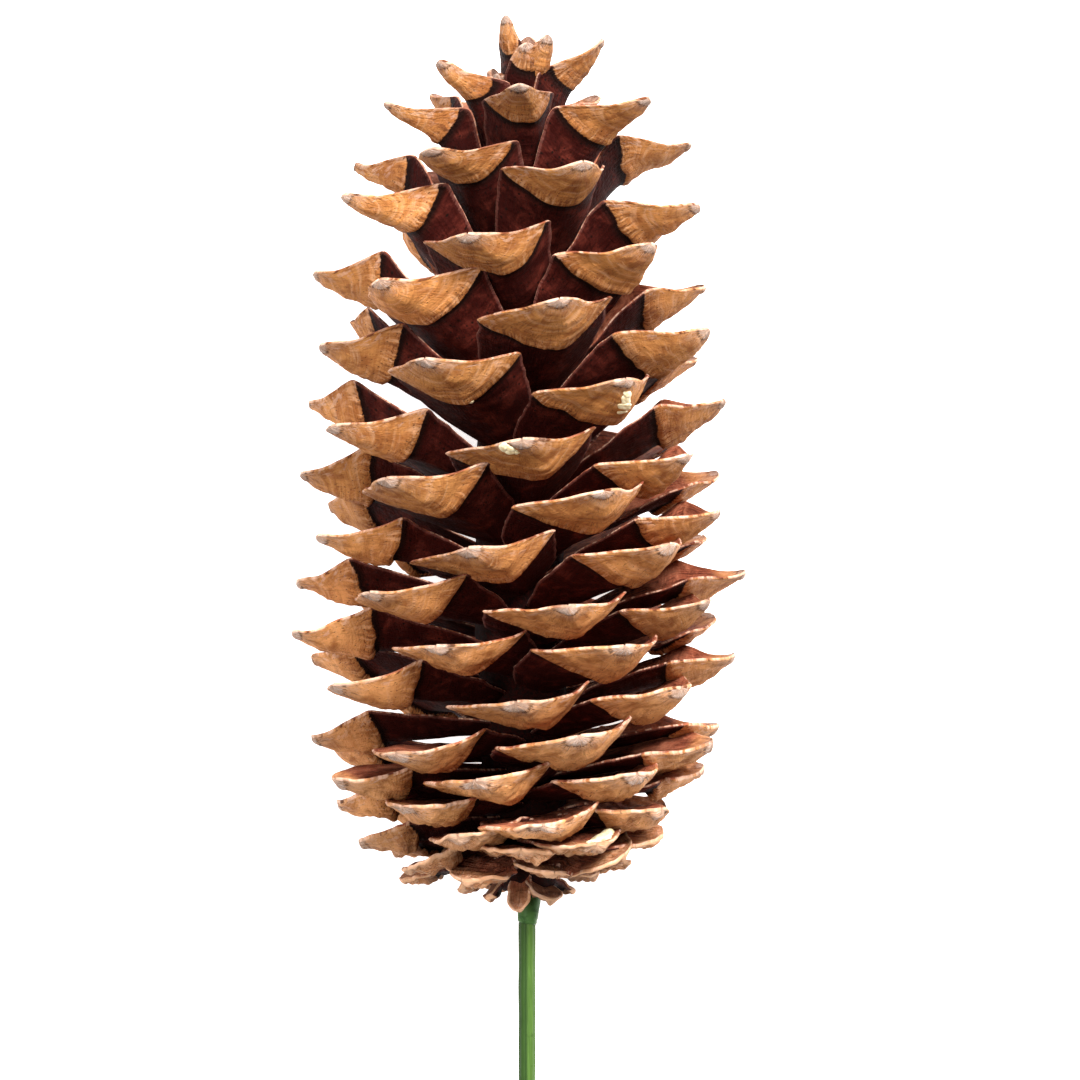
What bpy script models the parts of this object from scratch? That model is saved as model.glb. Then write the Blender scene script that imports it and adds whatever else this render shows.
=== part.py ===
"""A large pine cone on a green plastic-covered wire stem, lying on its side on a surface.

The cone is modelled upright in its own frame: its core stands on +Z with the base at the origin, and its
front faces -Y. An empty then lays it down, front upwards, so that in the scene +Y runs towards the cone's tip,
+Z is up, and the surface is at Z = 0. All lengths are in metres and all angles in degrees.
"""

import math
import random

import bmesh
import bpy
import numpy as np
from mathutils import Euler, Vector

# The scales, counted from the one in the middle of the front, in the order they grew
FIRST_SCALE = -84
LAST_SCALE = 50
TURN_PER_SCALE = 137.6
MIDDLE_SCALE_AZIMUTH = -0.5

# How the scales change from the cone's base to its tip, one column for each growth station
STATION = [-84, -70, -55, -42, -21, 0, 13, 21, 28, 34, 42, 50]
TIP_HEIGHT = [-0.006, 0.006, 0.0245, 0.046, 0.0895, 0.1395, 0.1795, 0.204, 0.2305, 0.2505, 0.2645, 0.272]
TIP_RADIUS = [0.013, 0.040, 0.057, 0.068, 0.071, 0.068, 0.064, 0.060, 0.053, 0.036, 0.015, 0.004]
TILT = [-55, -14, -2, 4, 10, 19, 28, 35, 42, 52, 70, 86]
SCALE_WIDTH = [0.009, 0.022, 0.036, 0.042, 0.044, 0.044, 0.042, 0.040, 0.034, 0.025, 0.015, 0.008]
CUP_DEPTH = [0.001, 0.003, 0.0045, 0.005, 0.0065, 0.008, 0.009, 0.010, 0.009, 0.006, 0.003, 0.001]
BACK_BEND = [0.000, 0.000, 0.000, 0.000, 0.000, 0.0005, 0.0015, 0.0035, 0.005, 0.0045, 0.002, 0.000]

# One scale's form, from its root in the core to its tip, as shares of its own width, cup and thickness
ALONG = [0.00, 0.36, 0.66, 0.86, 1.00]
HALF_WIDTH_SHARE = [0.14, 0.72, 1.00, 0.64, 0.20]
CUP_SHARE = [0.00, 0.35, 1.00, 0.60, 0.20]
BEND_SHARE = [0.00, 0.65, 1.00, 0.45, 0.00]
TIP_RISE_SHARE = [0.00, 0.00, 0.00, 0.00, 0.12]
THICKNESS_SHARE = [0.70, 0.70, 1.00, 0.80, 0.50]
KEEL_THICKNESS_PER_WIDTH = 0.090
LEAST_KEEL_THICKNESS = 0.0022
EDGE_THICKNESS = 0.0011
ROOT_DEPTH = 0.004
ROOT_RADIUS_SHARE = 0.75
LEAST_REACH = 0.003
LOWEST_ROOT = 0.003
HIGHEST_ROOT = 0.251
ROOT_ROUNDS = 4
SMALL_SCALE_WIDTH = 0.038
SMALL_SCALE_SECTIONS = (0, 2, 3, 4)

# What makes the cone uneven
SEED = 233
RIGHT_SIDE_RAISED = 6.0
RIGHT_EDGE_RAISED = 4.0
AZIMUTH_SPREAD = 1.8
TILT_SPREAD = 1.8
ROLL_SPREAD = 3.0
LENGTH_SPREAD = 0.025
AXIS_BOW = 0.0032
AXIS_BOW_SPAN = 0.390

# The core that the scales grow from, upwards from its base
CORE_HEIGHT = [0.000, 0.006, 0.030, 0.080, 0.130, 0.175, 0.215, 0.245, 0.257]
CORE_RADIUS = [0.0075, 0.0100, 0.0130, 0.0140, 0.0130, 0.0105, 0.0075, 0.0045, 0.0015]
CORE_SIDES = 14

# The stem: a steel wire in a fluted green sheath, with a collar under the cone
GAP = 0.0003
STEM_LENGTH = 0.125
WIRE_RADIUS = 0.0012
WIRE_DEPTH_IN_CORE = 0.036
WIRE_SHOWN_AT_CUT = 0.0008
SHEATH_RIDGE_RADIUS = 0.00275
SHEATH_GROOVE_RADIUS = 0.00245
SHEATH_FLUTES = 6
COLLAR_LENGTH = 0.0100
COLLAR_HEIGHT = [0.00, 0.12, 0.45, 0.80, 1.00]
COLLAR_RADIUS = [0.0026, 0.0030, 0.0034, 0.0037, 0.0036]
ROUND_SIDES = 16

# How the cone lies: the surface is this far from the base's centre, and the axis dips towards the tip
REST_DISTANCE = 0.0715
LYING_DIP = 3.0
FLAT_SPOT_DEPTH = 0.0005
BEND_ROUNDS = 6
SHARP_EDGE_ANGLE = 40

TAN = (0.42, 0.20, 0.075, 1.0)
STEM_GREEN = (0.085, 0.190, 0.045, 1.0)
COLLAR_GREEN = (0.070, 0.185, 0.055, 1.0)
STEEL = (0.45, 0.45, 0.46, 1.0)


def clear_scene():
    for obj in list(bpy.data.objects):
        bpy.data.objects.remove(obj)


def material(name, colour, roughness, metallic=0.0):
    made = bpy.data.materials.new(name)
    made.use_nodes = True
    shader = made.node_tree.nodes["Principled BSDF"]
    shader.inputs["Base Color"].default_value = colour
    shader.inputs["Roughness"].default_value = roughness
    shader.inputs["Metallic"].default_value = metallic
    made.diffuse_color = colour
    return made


def loft(name, rings, joined_ends=False):
    """An object skinned over rings of points. The ends are capped, or joined to each other as on a tube."""
    shape = bmesh.new()
    loops = [[shape.verts.new(point) for point in ring] for ring in rings]
    pairs = list(zip(loops, loops[1:]))
    if joined_ends:
        pairs.append((loops[-1], loops[0]))
    else:
        shape.faces.new(loops[0])
        shape.faces.new(loops[-1])
    for lower, upper in pairs:
        for i in range(len(lower)):
            j = (i + 1) % len(lower)
            shape.faces.new((lower[i], lower[j], upper[j], upper[i]))
    bmesh.ops.triangulate(shape, faces=shape.faces)
    bmesh.ops.recalc_face_normals(shape, faces=shape.faces)
    mesh = bpy.data.meshes.new(name)
    shape.to_mesh(mesh)
    shape.free()
    obj = bpy.data.objects.new(name, mesh)
    bpy.context.scene.collection.objects.link(obj)
    return obj


def circle(radius, height, sides=ROUND_SIDES, centre_x=0.0):
    turns = [2 * math.pi * i / sides for i in range(sides)]
    return [Vector((centre_x + radius * math.cos(a), radius * math.sin(a), height)) for a in turns]


def axis_x(height):
    """How far the bowed core stands to one side at this height."""
    return -AXIS_BOW * math.sin(math.pi * max(height, 0.0) / AXIS_BOW_SPAN)


def surface_direction():
    """The unit vector from the cone to the surface it lies on, in the cone's own frame."""
    dip = math.radians(LYING_DIP)
    return Vector((0.0, math.cos(dip), math.sin(dip)))


def scale_size(number, luck):
    """The growth values of one scale, with its own unevenness."""
    azimuth = MIDDLE_SCALE_AZIMUTH - TURN_PER_SCALE * number + luck.gauss(0, AZIMUTH_SPREAD)
    side = math.sin(math.radians(azimuth))
    tilt = np.interp(number, STATION, TILT) + RIGHT_SIDE_RAISED * side + luck.gauss(0, TILT_SPREAD)
    roll = RIGHT_EDGE_RAISED + luck.gauss(0, ROLL_SPREAD)
    mean_tilt = math.radians(np.interp(number, STATION, TILT))
    tip_radius = np.interp(number, STATION, TIP_RADIUS)
    tip_height = np.interp(number, STATION, TIP_HEIGHT)
    root_height = tip_height
    for _ in range(ROOT_ROUNDS):
        root_radius = ROOT_RADIUS_SHARE * np.interp(root_height, CORE_HEIGHT, CORE_RADIUS)
        reach = max(tip_radius - root_radius, LEAST_REACH)
        root_height = tip_height - reach * math.tan(mean_tilt)
        root_height = min(max(root_height, LOWEST_ROOT), HIGHEST_ROOT)
    length = math.hypot(reach, tip_height - root_height) * (1 + luck.gauss(0, LENGTH_SPREAD))
    return {
        "azimuth": math.radians(azimuth),
        "tilt": math.radians(tilt),
        "roll": math.radians(roll),
        "root_radius": root_radius,
        "root_height": root_height,
        "length": length,
        "width": np.interp(number, STATION, SCALE_WIDTH),
        "cup": np.interp(number, STATION, CUP_DEPTH),
        "bend": np.interp(number, STATION, BACK_BEND),
    }


def sections_used(size):
    return SMALL_SCALE_SECTIONS if size["width"] < SMALL_SCALE_WIDTH else range(len(ALONG))


def scale_sections(size):
    """Points (along, across, up) of a scale lying level: three over its upper face and three back under it."""
    keel = max(KEEL_THICKNESS_PER_WIDTH * size["width"], LEAST_KEEL_THICKNESS)
    rings = []
    for i in sections_used(size):
        along = ALONG[i] * (size["length"] + ROOT_DEPTH) - ROOT_DEPTH
        half = HALF_WIDTH_SHARE[i] * size["width"] / 2
        middle_up = TIP_RISE_SHARE[i] * size["cup"] + BEND_SHARE[i] * size["bend"]
        edge_up = CUP_SHARE[i] * size["cup"] + BEND_SHARE[i] * size["bend"]
        thick = THICKNESS_SHARE[i] * keel
        edge = min(EDGE_THICKNESS, thick)
        top = [(along, -half, edge_up), (along, 0.0, middle_up), (along, half, edge_up)]
        under = [(along, half, edge_up - edge), (along, 0.0, middle_up - thick), (along, -half, edge_up - edge)]
        rings.append([Vector(point) for point in top + under])
    return rings


def stand_in_place(point, size):
    """A point of a level scale, moved to where the scale grows on the core."""
    along, across, up = point
    up += across * math.tan(size["roll"])
    out = size["root_radius"] + along * math.cos(size["tilt"]) - up * math.sin(size["tilt"])
    height = size["root_height"] + along * math.sin(size["tilt"]) + up * math.cos(size["tilt"])
    sine, cosine = math.sin(size["azimuth"]), math.cos(size["azimuth"])
    return Vector(
        (
            axis_x(size["root_height"]) + out * sine + across * cosine,
            -out * cosine + across * sine,
            height,
        )
    )


def bend_off_surface(rings, size):
    """The scales under the cone bend until their tips only just press into the surface it lies on."""
    down = surface_direction()
    shares = [ALONG[i] ** 2 for i in sections_used(size)]
    for _ in range(BEND_ROUNDS):
        lowest = max(point.dot(down) for ring in rings for point in ring)
        past = lowest - REST_DISTANCE - FLAT_SPOT_DEPTH
        if past <= 0:
            break
        rings = [[p - down * past * share for p in ring] for share, ring in zip(shares, rings)]
    return rings


def make_scale(number, luck):
    size = scale_size(number, luck)
    rings = [[stand_in_place(point, size) for point in ring] for ring in scale_sections(size)]
    return loft(f"scale_{number - FIRST_SCALE:03d}", bend_off_surface(rings, size))


def make_core():
    """The bowed core, with the straight blind hole for the wire drilled up into its base."""
    hole = WIRE_RADIUS + GAP
    rings = [circle(hole, WIRE_DEPTH_IN_CORE + GAP, CORE_SIDES), circle(hole, 0.0, CORE_SIDES)]
    for height, radius in zip(CORE_HEIGHT, CORE_RADIUS):
        rings.append(circle(radius, height, CORE_SIDES, axis_x(height)))
    return loft("cone", rings)


def join_scales(core):
    """One union fuses every scale's root to the core, and their meshes are then dropped."""
    luck = random.Random(SEED)
    scales = bpy.data.collections.new("scales")
    bpy.context.scene.collection.children.link(scales)
    for number in range(FIRST_SCALE, LAST_SCALE + 1):
        scale = make_scale(number, luck)
        bpy.context.scene.collection.objects.unlink(scale)
        scales.objects.link(scale)
    union = core.modifiers.new("scales", "BOOLEAN")
    union.operation = "UNION"
    union.operand_type = "COLLECTION"
    union.collection = scales
    union.solver = "MANIFOLD"
    joined = bpy.data.meshes.new_from_object(core.evaluated_get(bpy.context.evaluated_depsgraph_get()))
    core.modifiers.clear()
    core.data = joined
    for scale in list(scales.objects):
        bpy.data.objects.remove(scale)
    bpy.data.collections.remove(scales)


def wear_flat_spots(cone):
    """The tips that carry the cone are worn flat where they meet the surface."""
    down = surface_direction()
    shape = bmesh.new()
    shape.from_mesh(cone.data)
    everything = shape.verts[:] + shape.edges[:] + shape.faces[:]
    cut = bmesh.ops.bisect_plane(
        shape, geom=everything, plane_co=down * REST_DISTANCE, plane_no=down, clear_outer=True
    )
    edges = [part for part in cut["geom_cut"] if isinstance(part, bmesh.types.BMEdge)]
    bmesh.ops.holes_fill(shape, edges=edges, sides=0)
    bmesh.ops.triangulate(shape, faces=shape.faces)
    shape.to_mesh(cone.data)
    shape.free()


def make_cone():
    core = make_core()
    join_scales(core)
    wear_flat_spots(core)
    core.data.materials.clear()
    core.data.materials.append(material("cone_wood", TAN, 0.6))
    return core


def fluted_ring(height):
    """The sheath's outline: ridges with shallow grooves between them."""
    points = []
    for i in range(2 * SHEATH_FLUTES):
        radius = SHEATH_RIDGE_RADIUS if i % 2 else SHEATH_GROOVE_RADIUS
        turn = math.pi * i / SHEATH_FLUTES
        points.append(Vector((radius * math.cos(turn), radius * math.sin(turn), height)))
    return points


def make_sheath():
    top = -GAP - COLLAR_LENGTH - GAP
    hole = WIRE_RADIUS + GAP
    sides = 2 * SHEATH_FLUTES
    rings = [
        fluted_ring(-STEM_LENGTH),
        fluted_ring(top),
        circle(hole, top, sides),
        circle(hole, -STEM_LENGTH, sides),
    ]
    obj = loft("stem_sheath", rings, joined_ends=True)
    obj.data.materials.append(material("sheath_green", STEM_GREEN, 0.45))
    return obj


def make_collar():
    """The cup-shaped collar between the sheath and the cone's base."""
    hole = WIRE_RADIUS + GAP
    bottom = -GAP - COLLAR_LENGTH
    rings = [circle(r, bottom + share * COLLAR_LENGTH) for share, r in zip(COLLAR_HEIGHT, COLLAR_RADIUS)]
    rings += [circle(hole, -GAP), circle(hole, bottom)]
    obj = loft("stem_collar", rings, joined_ends=True)
    obj.data.materials.append(material("collar_green", COLLAR_GREEN, 0.4))
    return obj


def make_wire():
    rings = [
        circle(WIRE_RADIUS, -STEM_LENGTH - WIRE_SHOWN_AT_CUT),
        circle(WIRE_RADIUS, WIRE_DEPTH_IN_CORE),
    ]
    obj = loft("stem_wire", rings)
    obj.data.materials.append(material("steel_wire", STEEL, 0.35, metallic=1.0))
    return obj


def shade_round(obj):
    obj.data.shade_smooth()
    obj.data.set_sharp_from_angle(angle=math.radians(SHARP_EDGE_ANGLE))


def lay_down(objects):
    """Turns the cone onto the surface, with the middle of its box over the origin."""
    lying = bpy.data.objects.new("lying", None)
    bpy.context.scene.collection.objects.link(lying)
    turn = Euler((math.radians(-90 - LYING_DIP), 0.0, 0.0))
    lying.rotation_euler = turn
    points = [turn.to_matrix() @ vertex.co for obj in objects for vertex in obj.data.vertices]
    middle = [(min(p[i] for p in points) + max(p[i] for p in points)) / 2 for i in (0, 1)]
    lying.location = (-middle[0], -middle[1], REST_DISTANCE)
    for obj in objects:
        obj.parent = lying


def main():
    clear_scene()
    cone = make_cone()
    stem = [make_sheath(), make_collar(), make_wire()]
    for obj in [cone] + stem:
        shade_round(obj)
    lay_down([cone] + stem)


main()
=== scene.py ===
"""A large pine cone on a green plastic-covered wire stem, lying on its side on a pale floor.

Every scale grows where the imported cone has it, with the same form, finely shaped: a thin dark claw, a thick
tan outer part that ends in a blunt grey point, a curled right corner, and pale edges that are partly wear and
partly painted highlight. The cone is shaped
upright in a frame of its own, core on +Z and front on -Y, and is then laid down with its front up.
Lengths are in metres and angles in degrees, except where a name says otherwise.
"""

import math
import random

import bmesh
import bpy
import numpy as np
from mathutils import Euler, Matrix, Vector
from mathutils.bvhtree import BVHTree


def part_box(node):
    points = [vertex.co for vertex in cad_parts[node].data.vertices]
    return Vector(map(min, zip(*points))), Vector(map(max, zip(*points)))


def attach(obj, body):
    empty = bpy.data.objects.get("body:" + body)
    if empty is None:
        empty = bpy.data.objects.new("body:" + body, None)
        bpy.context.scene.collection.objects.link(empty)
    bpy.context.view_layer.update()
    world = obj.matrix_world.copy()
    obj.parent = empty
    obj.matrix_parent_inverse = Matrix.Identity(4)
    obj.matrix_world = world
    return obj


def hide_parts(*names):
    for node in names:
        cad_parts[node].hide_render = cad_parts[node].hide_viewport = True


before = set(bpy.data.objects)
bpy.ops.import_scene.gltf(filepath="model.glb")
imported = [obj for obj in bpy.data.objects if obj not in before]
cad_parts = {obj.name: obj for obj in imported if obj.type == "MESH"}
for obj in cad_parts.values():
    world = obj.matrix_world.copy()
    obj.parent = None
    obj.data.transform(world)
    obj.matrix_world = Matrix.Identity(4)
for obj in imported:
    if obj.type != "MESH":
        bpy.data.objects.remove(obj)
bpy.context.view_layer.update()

# The scales, counted from the one in the middle of the front, in the order they grew
FIRST_SCALE = -84
LAST_SCALE = 50
TURN_PER_SCALE = 137.6
MIDDLE_SCALE_AZIMUTH = -0.5

# How the scales change from the cone's base to its tip, one column for each growth station
STATION = [-84, -70, -55, -42, -21, 0, 13, 21, 28, 34, 42, 50]
TIP_HEIGHT = [-0.002, 0.0095, 0.0245, 0.046, 0.0895, 0.1395, 0.1795, 0.204, 0.2305, 0.2505, 0.2645, 0.272]
TIP_RADIUS = [0.013, 0.040, 0.054, 0.065, 0.071, 0.068, 0.064, 0.060, 0.053, 0.038, 0.022, 0.007]
TILT = [-38, -7, 1, 5, 10, 19, 28, 35, 42, 52, 66, 86]
SCALE_WIDTH = [0.012, 0.025, 0.036, 0.042, 0.044, 0.044, 0.042, 0.040, 0.034, 0.024, 0.017, 0.010]
CUP_DEPTH = [0.001, 0.003, 0.0045, 0.005, 0.0065, 0.008, 0.009, 0.010, 0.009, 0.006, 0.003, 0.001]
BACK_BEND = [0.000, 0.000, 0.000, 0.000, 0.000, 0.0005, 0.0015, 0.0035, 0.005, 0.0045, 0.002, 0.000]

# How deep a scale is rooted, and what makes the cone uneven
KEEL_THICKNESS_PER_WIDTH = 0.090
LEAST_KEEL_THICKNESS = 0.0022
ROOT_DEPTH = 0.004
ROOT_RADIUS_SHARE = 0.75
LEAST_REACH = 0.003
LOWEST_ROOT = 0.003
HIGHEST_ROOT = 0.251
ROOT_ROUNDS = 4
SEED = 233
SCALE_SEED = 1000
RIGHT_EDGE_RAISED = 4.0
AZIMUTH_SPREAD = 1.8
TILT_SPREAD = 1.8
ROLL_SPREAD = 3.0
LENGTH_SPREAD = 0.025
AXIS_BOW = 0.0032
AXIS_BOW_SPAN = 0.390
CORE_HEIGHT = [0.000, 0.006, 0.030, 0.080, 0.130, 0.175, 0.215, 0.245, 0.257]
CORE_RADIUS = [0.0075, 0.0100, 0.0130, 0.0140, 0.0130, 0.0105, 0.0075, 0.0045, 0.0015]

# How the cone lies
REST_DISTANCE = 0.0715
LYING_DIP = 3.0
FLAT_SPOT_DEPTH = 0.0005
BEND_ROUNDS = 6

# The finer scales at the same stations: the left corner's share of the cup, the cup kept, and the tip's droop
LEFT_CUP = [0.50, 0.50, 0.40, 0.28, 0.32, 0.45, 0.60, 0.90, 1.00, 1.00, 1.00, 1.00]
CUP_KEPT = [0.15, 0.25, 0.70, 1.00, 1.00, 1.00, 0.97, 1.00, 1.02, 1.40, 1.30, 1.30]
TIP_DROOP = [0.000, 0.000, 0.000, 0.000, 0.000, 0.000, 0.0005, 0.0020, 0.0050, 0.0040, 0.0010, 0.000]
RIGHT_SIDE_LEFT_CUP = 0.40
DROOP_START = 0.62
DROOP_LENGTH = 0.38

# How much of the width stays, and how blunt, how much thicker and how rough a scale is
WIDTH_KEPT = [1.15, 1.00, 1.00, 1.00, 1.00, 1.00, 1.00, 0.97, 0.94, 0.90, 0.95, 1.00]
BLUNT = [0.50, 0.40, 0.40, 0.32, 0.00, 0.00, 0.00, 0.05, 0.12, 0.15, 0.35, 0.80]
THICKER = [1.50, 1.45, 1.35, 1.30, 1.20, 1.10, 1.00, 1.00, 1.00, 1.00, 1.00, 1.00]
ROUGHER = [1.00, 1.00, 0.60, 0.15, 0.00, 0.00, 0.00, 0.00, 0.00, 0.00, 0.20, 0.30]

# How far the outer part stands out at its border, how round that is, and how much nearer the tip it lies
BORDER_STEP = [0.20, 0.30, 0.65, 0.75, 0.58, 0.52, 0.46, 0.42, 0.38, 0.34, 0.30, 0.30]
ROUND_BORDER = [0.50, 0.50, 0.30, 0.10, 0.00, 0.00, 0.20, 0.60, 1.00, 1.00, 1.00, 1.00]
BORDER_OUT = [0.00, 0.00, 0.00, 0.00, 0.00, 0.00, 0.00, 0.025, 0.035, 0.045, 0.140, 0.160]

# How far the scales at the cone's right and left are raised, and how unevenly scales stand
RIGHT_SIDE_RAISED = [4.0, 8.0, 9.0, 8.0, 6.0, 6.0, 6.0, 8.0, 13.0, 12.0, 8.0, 6.0]
LEFT_SIDE_RAISED = [0.0, 0.0, 0.0, 0.0, 0.0, 0.0, 1.0, 5.0, 20.0, 22.0, 14.0, 0.0]
UNEVEN = [3.0, 2.5, 1.2, 0.4, 0.0, 0.0, 0.0, 0.0, 0.0, 0.0, 0.0, 0.0]
UNEVEN_ROLL = 4.5
UNEVEN_TILT = 2.0

# Scales that stand apart from the rest: extra tilt in degrees, and length and width against the others
OWN_GROWTH = {
    -81: (-30.0, 1.05, 0.50),
    23: (-10.0, 1.08, 1.00),
    28: (-8.0, 1.08, 1.00),
    31: (-7.0, 1.09, 1.00),
    36: (2.0, 1.13, 1.10),
    37: (2.0, 1.00, 0.90),
    39: (10.0, 1.03, 0.80),
    40: (4.0, 0.60, 0.70),
    41: (10.0, 0.70, 0.80),
    42: (21.0, 1.10, 0.55),
    43: (6.0, 0.70, 0.80),
    44: (6.0, 0.60, 0.70),
    45: (0.0, 0.50, 0.70),
    46: (8.0, 0.95, 1.00),
    47: (-2.0, 0.86, 0.95),
    48: (4.0, 0.65, 0.80),
    49: (4.0, 0.65, 0.80),
    50: (0.0, 0.60, 0.80),
}

# A scale's fine form along its length, from the root to the tip, as shares of its width, cup, bend and keel
FINE_ALONG = [0.00, 0.15, 0.37, 0.55, 0.65, 0.71, 0.77, 0.83, 0.89, 0.95, 1.00]
FINE_HALF_WIDTH = [0.18, 0.46, 0.80, 0.92, 0.96, 1.02, 0.89, 0.71, 0.50, 0.33, 0.16]
FINE_CUP = [0.00, 0.22, 0.58, 0.84, 0.96, 1.00, 0.84, 0.60, 0.34, 0.16, 0.05]
FINE_BEND = [0.00, 0.27, 0.65, 0.88, 0.98, 0.98, 0.84, 0.62, 0.34, 0.16, 0.00]
FINE_RISE = [0.00, 0.00, 0.00, 0.00, 0.00, 0.00, 0.00, 0.01, 0.05, 0.11, 0.16]
FINE_KEEL = [0.70, 0.66, 0.62, 0.62, 0.66, 0.66, 0.62, 0.56, 0.47, 0.39, 0.32]
BLUNT_HALF_WIDTH = [0.50, 0.74, 0.93, 0.98, 1.00, 1.00, 0.98, 0.92, 0.80, 0.64, 0.42]
BLUNT_KEEL = [0.70, 0.70, 0.78, 0.90, 0.96, 1.00, 1.00, 1.00, 0.98, 0.92, 0.78]
MARGIN_THICKNESS = 0.0008
MARGIN_ROUNDING = 0.0003
MARGIN_BULGE = 1.6
MARGIN_UNEVEN = 0.014
MARGIN_ROUGH = 0.05
MARGIN_RIPPLE = 0.007

# How a scale's tip is rounded off, and how much of its thickness stays there
TIP_ROUNDING_START = 0.955
TIP_ROUNDING_LENGTH = 0.045
TIP_ROUNDING = 0.985
TIP_THICKNESS_KEPT = 0.35

# The keel runs right of the middle, the right corner curls up and the left one stays low
KEEL_SIDE = 0.30
KEEL_SIDE_SPREAD = 0.09
MOST_KEEL_SIDE = 0.5
KEEL_ROUNDNESS = 1.4
ROUNDER_KEEL = 1.1
LEFT_ROUNDNESS = 1.75
RIGHT_CUP = 1.12
RIGHT_ROUNDNESS = 1.35
ROUNDER_RIGHT = 0.65
RIGHT_CORNER_CURL = 0.18
CORNER_ALONG = 0.71
CORNER_CURL_REACH = 0.08

# Where the tan outer part starts on the underside, and how far it stands out there
BORDER_AT_KEEL = 0.625
BORDER_TO_LEFT = 0.070
BORDER_TO_RIGHT = 0.085
BORDER_LEFT_CURVE = 1.8
BORDER_LEFT_ROUNDER = 1.2
BORDER_RIGHT_CURVE = 1.3
BORDER_RIGHT_ROUNDER = 1.7
BORDER_UNEVEN = 0.007
BORDER_RIPPLE = 0.010
BORDER_STEP_LENGTH = 0.0016
BORDER_STEP_START = 0.35
BORDER_STEP_ROUNDNESS = 1.6
STEP_FADE_START = 0.66
STEP_FADE_LENGTH = 0.34

# The umbo: the raised point just short of the tip, with a groove round it
UMBO_FROM_TIP = 0.0008
UMBO_LENGTH = 0.0018
UMBO_HALF_WIDTH = 0.0038
UMBO_THICKNESS = 0.00035
UMBO_ON_TOP = 0.4
UMBO_GROOVE = 0.00010
UMBO_GROOVE_PLACE = 1.25
UMBO_GROOVE_WIDTH = 0.3

# Unevenness of a whole scale: how far apart its waves and its dents lie, and how high they are
WAVE_LENGTH = 0.018
WAVE_HEIGHT = 0.0003
DENT_LENGTH = 0.005
DENT_HEIGHT = 0.00022

# Relief of the outer part: lumps, fine lumps, growth arcs that wander, and folds across its border
LUMP_LENGTH = 0.009
LUMP_HEIGHT = 0.00022
FINE_LUMP_LENGTH = 0.0035
FINE_LUMP_HEIGHT = 0.00009
ROUGHER_LUMPS = 3
ARC_LENGTH = 0.0036
ARC_HEIGHT = 0.00014
ARC_WANDER = 2.5
ARC_WANDER_LENGTH = 0.02
FOLD_SPACING = 0.22
FOLD_HEIGHT = 0.00022
FOLD_REACH = 0.006
RELIEF_START = 0.002

# The materials read a scale's values in millimetres, and no two scales have the same grain
MILLIMETRES = 1000
GRAIN_APART = 500

# How finely a scale is drawn: rows along it, which lie closer in its outer part, and points across each face
ROWS = 50
ROW_SHARE = [0, 0.22, 0.88, 1]
ROW_PLACE = [0, 0.52, 0.955, 1]
ACROSS = 32
SCALES_PER_PIECE = 27

# The map for baking: a cell for each scale, how much of it is used, and a strip for the scale's ends
ATLAS_CELLS = 6
CELL_FILL = 0.97
CELL_MARGIN = 0.015
END_STRIP_START = 0.1
END_STRIP_WIDTH = 0.3

# The stem
GAP = 0.0003
STEM_LENGTH = 0.125
WIRE_RADIUS = 0.0012
WIRE_DEPTH_IN_CORE = 0.036
SHEATH_RIDGE_RADIUS = 0.00264
SHEATH_GROOVE_RADIUS = 0.00242
SHEATH_FLUTES = 6
COLLAR_LENGTH = 0.0100
COLLAR_HEIGHT = [0.00, 0.12, 0.45, 0.80, 1.00]
COLLAR_RADIUS = [0.0026, 0.0030, 0.0034, 0.0037, 0.0036]

# The photograph's frame: 1080 pixels square, with the cone's base and the stem's middle at these pixels
FRAME_PIXELS = 1080
PIXEL = 0.0003125
BASE_ROW = 890
STEM_COLUMN = 527
CAMERA_DISTANCE = 1.5
SENSOR_MM = 36


def lying_frame():
    """The matrix that lays the cone's own frame down in the scene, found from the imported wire."""
    turn = Euler((math.radians(-90 - LYING_DIP), 0.0, 0.0)).to_matrix().to_4x4()
    dip = math.radians(LYING_DIP)
    low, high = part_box("stem_wire")
    x = (low[0] + high[0]) / 2
    y = high[1] - WIRE_DEPTH_IN_CORE * math.cos(dip) - WIRE_RADIUS * math.sin(dip)
    return Matrix.Translation((x, y, REST_DISTANCE)) @ turn


LYING = lying_frame()
DOWN = np.array([0.0, math.cos(math.radians(LYING_DIP)), math.sin(math.radians(LYING_DIP))])


def to_scene(points):
    """Points of the cone's own frame, in the scene."""
    matrix = np.array(LYING)
    return points @ matrix[:3, :3].T + matrix[:3, 3]


def curve_through(stations, values, at):
    """A smooth curve through the stations' values, without overshooting them."""
    x = np.array(stations, float)
    y = np.array(values, float)
    slopes = np.diff(y) / np.diff(x)
    tangents = np.zeros(len(x))
    same_way = slopes[:-1] * slopes[1:] > 0
    product = 2 * slopes[:-1] * slopes[1:]
    total = np.where(same_way, slopes[:-1] + slopes[1:], 1)
    tangents[1:-1] = np.where(same_way, product / total, 0)
    tangents[0] = slopes[0]
    tangents[-1] = slopes[-1]
    i = np.clip(np.searchsorted(x, at, side="right") - 1, 0, len(x) - 2)
    span = x[i + 1] - x[i]
    t = (at - x[i]) / span
    start = y[i] * (1 + 2 * t) * (1 - t) ** 2 + tangents[i] * span * t * (1 - t) ** 2
    return start + y[i + 1] * t * t * (3 - 2 * t) - tangents[i + 1] * span * t * t * (1 - t)


def mixed(first, second, share):
    """A row of values part of the way from one row to another."""
    return [a + (b - a) * share for a, b in zip(first, second)]


def smooth_step(x):
    x = np.clip(x, 0, 1)
    return x * x * (3 - 2 * x)


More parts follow.
